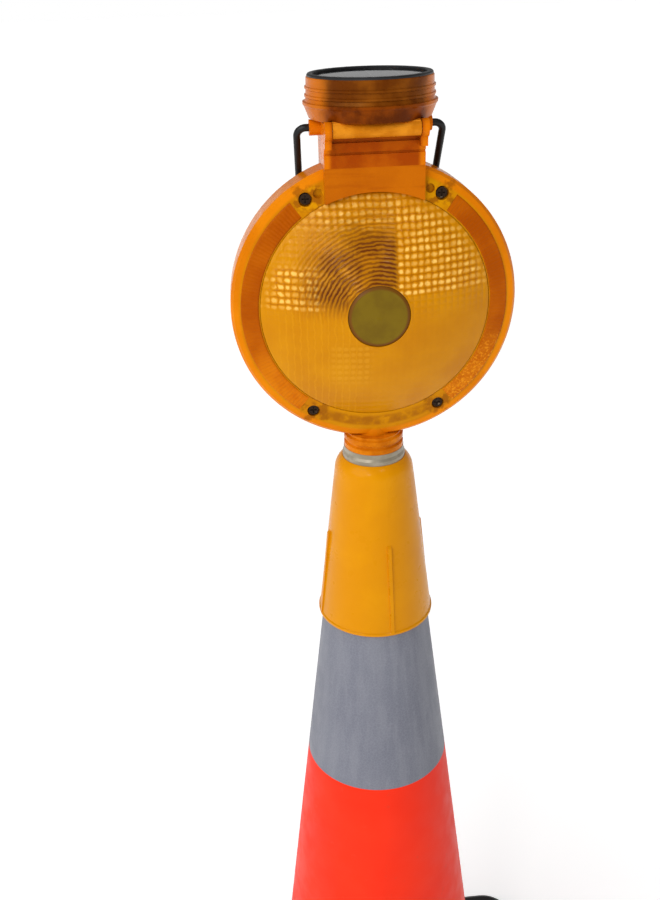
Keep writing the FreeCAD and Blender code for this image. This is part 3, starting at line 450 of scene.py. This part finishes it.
def plain_material(name, first, second, rough):
    shade = Shade(name, first, rough, Specular_IOR_Level=0.3)
    worn(shade, first, second, 40.0)
    shade.roughness(shade.ramp(shade.noise(150.0, 3.0), 0.3, 0.7, rough * 0.85, rough * 1.15))
    shade.bump(shade.noise(500.0, 2.0), 0.0001, 0.3)
    return shade.material


def solar_material():
    """Dark crystalline cells with thin silver fingers and two bus bars."""
    shade = Shade("SolarCells", (0.012, 0.016, 0.04), 0.22, Coat_Weight=0.6, Coat_Roughness=0.05)
    across, along, _ = shade.split(shade.where())
    finger = shade.math("ABSOLUTE", shade.math(
        "SINE", shade.math("MULTIPLY", along, math.pi / FINGER_PITCH)))
    finger_line = shade.ramp(finger, 0.0, 0.14, 1.0, 0.0)
    bar = shade.math("ABSOLUTE", shade.math(
        "SINE", shade.math("MULTIPLY", across, math.pi / BUS_PITCH)))
    bar_line = shade.ramp(bar, 0.0, 0.10, 1.0, 0.0)
    metal = shade.math("MAXIMUM", shade.math("MULTIPLY", finger_line, 0.45), bar_line)
    crystal = shade.blend(shade.ramp(shade.noise(90.0, 3.0), 0.4, 0.6),
                          (0.008, 0.011, 0.028), (0.02, 0.027, 0.06))
    shade.colour(shade.blend(metal, crystal, (0.42, 0.43, 0.45)))
    return shade.material


def cover_material():
    shade = Shade("CoverGlass", (0.96, 0.97, 0.98), 0.04, IOR=1.46)
    shade.set("Transmission Weight", 1.0)
    shade.roughness(shade.ramp(shade.noise(60.0, 3.0), 0.3, 0.7, 0.03, 0.08))
    return shade.material


def paint(material, *names):
    for name in names:
        item = nodes[name]
        if not item.material_slots:
            item.data.materials.append(material)
        for slot in item.material_slots:
            slot.material = material


shell_amber = shell_material()
black_plastic = plain_material("BlackPlastic", (0.008, 0.008, 0.009), (0.015, 0.015, 0.016), 0.4)
seal_rubber = plain_material("SealRubber", (0.02, 0.02, 0.02), (0.035, 0.035, 0.034), 0.62)
zinc = metal_material("ZincSteel", (0.62, 0.62, 0.63), 0.28)
brass = metal_material("Brass", (0.72, 0.50, 0.20), 0.3)
olive = window_material()

paint(rubber_material(), "cone_base")
paint(cone_material(), "cone_body")
paint(sleeve_material(), "reflective_sleeve")
paint(cap_material(), "adaptor_cap")
paint(ring_material(), "spacer_ring")
paint(shell_amber, "front_shell", "rear_shell")
paint(head_material(), "head_housing")
paint(collar_material(), "mount_collar")
paint(olive, "front_window", "rear_window")
paint(zinc, "clamp_bolt", "clamp_washer", "hinge_pin", "battery_contacts")
paint(screw_material(), "shell_screws")
paint(brass, "mount_insert", "shell_inserts")
paint(black_plastic, "panel_bezel", "battery_tray", "board_components", "switch_body",
      "switch_bezel", "charge_socket", "charge_plug")
paint(seal_rubber, "rim_seal", "switch_button", "lamp_leads", "solar_leads")
paint(plain_material("BailCoating", (0.003, 0.003, 0.0035), (0.006, 0.006, 0.0065), 0.42),
      "bail_handle")
paint(plain_material("WhitePlastic", (0.78, 0.77, 0.74), (0.83, 0.82, 0.80), 0.35),
      "front_reflector", "rear_reflector")
paint(plain_material("BoardGreen", (0.012, 0.10, 0.035), (0.02, 0.14, 0.05), 0.35),
      "led_board", "control_board")
paint(plain_material("CellJacket", (0.03, 0.05, 0.16), (0.05, 0.07, 0.2), 0.3), "battery_cells")
paint(plain_material("LedResin", (0.85, 0.45, 0.08), (0.9, 0.52, 0.12), 0.15),
      "front_leds", "rear_leds")
paint(solar_material(), "solar_cell")
paint(cover_material(), "panel_cover")


# ---------------------------------------------------------------- mesh helpers
def build(name, points, faces, body, material, smooth=True, origin=(0, 0, 0)):
    """A mesh object riding on a body. points are metres in the row frame."""
    mesh = bpy.data.meshes.new(name)
    shifted = np.asarray(points, dtype=float) - np.asarray(origin)
    mesh.from_pydata(shifted.tolist(), [], faces)
    mesh.validate()
    mesh.update()
    if smooth:
        mesh.polygons.foreach_set("use_smooth", [True] * len(mesh.polygons))
    made = bpy.data.objects.new(name, mesh)
    made.location = origin
    scene.collection.objects.link(made)
    made.data.materials.append(material)
    bpy.context.view_layer.update()
    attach(made, body)
    return made


def ring_faces(rows, count, wrap=True):
    """Quads between consecutive rings of count points; wrap joins the last ring to the first."""
    faces = []
    last = rows if wrap else rows - 1
    for row in range(last):
        here = row * count
        above = ((row + 1) % rows) * count
        for step in range(count):
            after = (step + 1) % count
            faces.append((here + step, here + after, above + after, above + step))
    return faces


def facing(u, v, w, side):
    """Points of the lamp's own view (right, up, out) in millimetres, into the row frame."""
    if side == "front":
        return np.stack([u, -w, v], -1) * MM + (0, 0, DISC)
    return np.stack([-u, w, v], -1) * MM + (0, 0, DISC)


# ---------------------------------------------------------------- lenses
DOME_RADIUS = 152.0  # millimetres, as all the sizes in this part
DOME_CENTRE = -112.0  # of the dome's sphere, from the lamp's mid plane
DOME_WALL = 2.5
DOME_EDGE = 78.0
HOLE = 21.5  # radius of the hole for the window
SEAT_RADII = (79.2, 79.7, 79.7, 75.5, 75.5)  # the lens's rim, from its front edge round to its back
SEAT_HEIGHTS = (17.9, 17.4, 14.0, 14.0, 17.0)


def step_up(value, low, high):
    """Zero below low, one above high."""
    return np.clip((value - low) / (high - low), 0.0, 1.0)


def lens_relief(u, v):
    """Depth below the dome, in millimetres: rings near the middle, square pillows beyond,
    all of them shallow in the lower half."""
    reach = np.hypot(u, v)
    ring = np.abs(np.sin(np.pi * reach / (ARC / MM)))
    side = PILLOW / MM
    pillow = np.abs(np.sin(np.pi * u / side)) * np.abs(np.sin(np.pi * v / side))
    upper = step_up(v, -6.0, 8.0)
    arcs = (1.0 - step_up(u, 10.5, 14.5)) * upper * (1.0 - step_up(reach, 56.0, 74.0))
    rim = (1.0 - step_up(reach, 76.0, 77.5)) * step_up(reach, HOLE + 0.6, HOLE + 1.4)
    pillows = (1.0 - arcs) * (0.10 + 0.42 * upper)
    depth = arcs * 0.45 * (1.0 - ring) + pillows * (1.0 - pillow)
    return depth * rim


def make_lens(side, turns, rings):
    angle = np.linspace(0, 2 * np.pi, turns, endpoint=False)
    outer_r = np.concatenate([np.linspace(HOLE, DOME_EDGE, rings), SEAT_RADII])
    inner_r = np.linspace(75.0, HOLE, 12)
    dome = DOME_CENTRE + np.sqrt(DOME_RADIUS ** 2 - np.minimum(outer_r, DOME_EDGE) ** 2)
    dome[rings:] = SEAT_HEIGHTS
    under = DOME_CENTRE + np.sqrt((DOME_RADIUS - DOME_WALL) ** 2 - inner_r ** 2)
    radius = np.concatenate([outer_r, inner_r])
    height = np.concatenate([dome, under])
    r_grid, a_grid = np.meshgrid(radius, angle, indexing="ij")
    u = r_grid * np.cos(a_grid)
    v = r_grid * np.sin(a_grid)
    w = np.repeat(height[:, None], turns, axis=1)
    w[:rings] -= lens_relief(u[:rings], v[:rings])
    points = facing(u.ravel(), v.ravel(), w.ravel(), side)
    faces = ring_faces(len(radius), turns)
    made = build(side + "_optic", points, faces, "lamp",
                 lens_material("Lens_" + side, side == "rear"), origin=(0, 0, DISC))
    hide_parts(side + "_lens")


LENS_TURNS, LENS_RINGS = ((560, 170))
for lamp_side in ("front", "rear"):
    make_lens(lamp_side, LENS_TURNS, LENS_RINGS)


# ---------------------------------------------------------------- ribbed side bands
BAND_IN, BAND_OUT = 80.8, 93.0
BAND_HALF_TURN = math.radians(53)
BAND_RIBS = 64
BAND_PROUD = 0.45
BAND_FACET = 2.44  # pitch of the facets along each rib
BAND_SUNK = 0.4  # how far the band's edges go into the flange
FLANGE_RADIUS = 98.0  # where the flange's sloping face starts
FLANGE_EDGE = 13.8  # its height there
FLANGE_SLOPE = 0.2


def flange_height(radius):
    """Height of the flange's sloping face above the lamp's mid plane, in millimetres."""
    return FLANGE_EDGE + (FLANGE_RADIUS - radius) * FLANGE_SLOPE


def make_band(side, sign, material):
    """An arc of fine radial ribs standing a little out of the flange beside the lens."""
    steps = BAND_RIBS * 6
    turn = np.linspace(-BAND_HALF_TURN, BAND_HALF_TURN, steps + 1)
    radius = np.concatenate([[BAND_IN], np.linspace(BAND_IN, BAND_OUT, 13), [BAND_OUT]])
    rib = 0.5 + 0.5 * np.cos(np.linspace(0, 2 * np.pi * BAND_RIBS, steps + 1))
    ends = step_up(np.minimum(turn + BAND_HALF_TURN, BAND_HALF_TURN - turn), 0.0, 0.02)
    r_grid, a_grid = np.meshgrid(radius, turn)
    proud = (0.5 + 0.5 * rib * ends)[:, None] * np.full_like(r_grid, BAND_PROUD)
    facets = 0.5 + 0.5 * np.cos(2 * np.pi * (r_grid - BAND_IN) / BAND_FACET)
    w = flange_height(r_grid) + proud * (0.75 + 0.25 * facets)
    w[:, 0] = flange_height(BAND_IN) - BAND_SUNK
    w[:, -1] = flange_height(BAND_OUT) - BAND_SUNK
    u = sign * r_grid * np.cos(a_grid)
    v = r_grid * np.sin(a_grid)
    points = facing(u.ravel(), v.ravel(), w.ravel(), side)
    across = len(radius)
    faces = ring_faces(steps + 1, across, wrap=False)
    faces.append(tuple(range(across)))
    faces.append(tuple(reversed(range(steps * across, (steps + 1) * across))))
    hand = "right" if sign > 0 else "left"
    made = build("%s_band_%s" % (side, hand), points, faces, "lamp", material)


band_amber = prism_material()
for lamp_side in ("front", "rear"):
    for band_sign in (-1, 1):
        make_band(lamp_side, band_sign, band_amber)


# ---------------------------------------------------------------- sleeve's overlapped seam
def make_sleeve_seam(material):
    """The sleeve's sheet overlaps itself in one upright strip at the back of the cone."""
    low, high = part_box("reflective_sleeve")
    inset = 0.0005
    levels = np.linspace(low[2] + inset, high[2] - inset, 40)
    foot_radius = (high[0] - low[0]) / 2
    slope = 0.1215
    half = 0.007
    sunk, edge, proud, bevel = -0.0006, 0.0002, 0.00042, 0.0008
    section = ((-half, sunk), (-half, edge), (-half + bevel, proud),
               (half - bevel, proud), (half, edge), (half, sunk))
    points = []
    for level in levels:
        radius = foot_radius - slope * (level - low[2])
        for along, out in section:
            turn = along / radius
            points.append(((radius + out) * math.sin(turn), (radius + out) * math.cos(turn), level))
    count = len(section)
    faces = ring_faces(len(levels), count, wrap=False)
    faces.append(tuple(range(count)))
    faces.append(tuple(reversed(range((len(levels) - 1) * count, len(levels) * count))))
    made = build("sleeve_seam", points, faces, "cone", material, smooth=False)


make_sleeve_seam(nodes["reflective_sleeve"].material_slots[0].material)


# ---------------------------------------------------------------- stage, light and camera
def make_stage():
    mesh = bpy.data.meshes.new("floor")
    half = 30.0
    mesh.from_pydata([(-half, -half, 0), (half, -half, 0), (half, half, 0), (-half, half, 0)],
                     [], [(0, 1, 2, 3)])
    floor = bpy.data.objects.new("floor", mesh)
    scene.collection.objects.link(floor)
    shade = Shade("FloorPale", (0.9, 0.9, 0.9), 0.9, Specular_IOR_Level=0.1)
    shade.set("Emission Color", (1.0, 1.0, 1.0, 1.0))
    shade.set("Emission Strength", 0.5)
    floor.data.materials.append(shade.material)


def area(name, place, aim, size, power):
    data = bpy.data.lights.new(name, "AREA")
    data.shape = "RECTANGLE"
    data.size, data.size_y = size
    data.energy = power
    made = bpy.data.objects.new(name, data)
    made.location = place
    direction = Vector(aim) - Vector(place)
    made.rotation_euler = direction.to_track_quat("-Z", "Y").to_euler()
    scene.collection.objects.link(made)


def make_world():
    """Even studio light, brightest at the horizon so that the floor has no visible end."""
    world = bpy.data.worlds.new("Studio")
    scene.world = world
    world.use_nodes = True
    tree = world.node_tree
    coords = tree.nodes.new("ShaderNodeTexCoord")
    split = tree.nodes.new("ShaderNodeSeparateXYZ")
    fall = tree.nodes.new("ShaderNodeMapRange")
    for key, value in (("From Min", 0.0), ("From Max", 0.12), ("To Min", 1.0), ("To Max", 0.30)):
        fall.inputs[key].default_value = value
    tree.links.new(coords.outputs["Generated"], split.inputs[0])
    tree.links.new(split.outputs[2], fall.inputs["Value"])
    tree.links.new(fall.outputs["Result"], tree.nodes["Background"].inputs["Strength"])
    tree.nodes["Background"].inputs["Color"].default_value = (1.0, 1.0, 1.0, 1.0)


def make_sun():
    """Broad soft light from the upper left, which leaves the right side darker."""
    data = bpy.data.lights.new("window_light", "SUN")
    data.energy = 1.75
    data.angle = 0.9
    made = bpy.data.objects.new("window_light", data)
    made.rotation_euler = Vector((0.95, 0.72, -0.80)).to_track_quat("-Z", "Y").to_euler()
    scene.collection.objects.link(made)


make_stage()
make_world()
make_sun()
area("key", (-0.50, -1.15, 1.45), (0, 0, 0.75), (0.2, 0.2), 3.0)
area("fill", (0.40, -0.90, 1.9), (0, 0, 0.85), (0.2, 0.2), 1.6)


def make_camera():
    """The reference view: above the lamp, looking down, a little to its left."""
    focal = 973.2
    picture_height = 900.0
    sensor = 36.0
    pitch = math.radians(26.29)
    orbit = math.radians(7.5)
    yaw = math.radians(7.5 - 2.86)  # turned a little aside, so the lamp stands right of centre
    roll = math.radians(-1.85)
    distance = 0.6666
    above_top = 0.0593
    data = bpy.data.cameras.new("camera")
    data.sensor_fit = "AUTO"
    data.sensor_width = sensor
    data.lens = focal / picture_height * sensor
    data.dof.use_dof = False
    made = bpy.data.objects.new("camera", data)
    scene.collection.objects.link(made)
    forward = Vector((math.sin(yaw) * math.cos(pitch), math.cos(yaw) * math.cos(pitch),
                      -math.sin(pitch)))
    right = Vector((math.cos(yaw), -math.sin(yaw), 0))
    up = right.cross(forward)
    turned_right = right * math.cos(roll) + up * math.sin(roll)
    turned_up = up * math.cos(roll) - right * math.sin(roll)
    basis = Matrix((turned_right, turned_up, -forward)).transposed()
    place = Vector((-distance * math.sin(orbit), -distance * math.cos(orbit), TOP + above_top))
    made.matrix_world = Matrix.Translation(place) @ basis.to_4x4()
    data.clip_start = 0.01
    data.clip_end = 100.0
    scene.camera = made


make_camera()
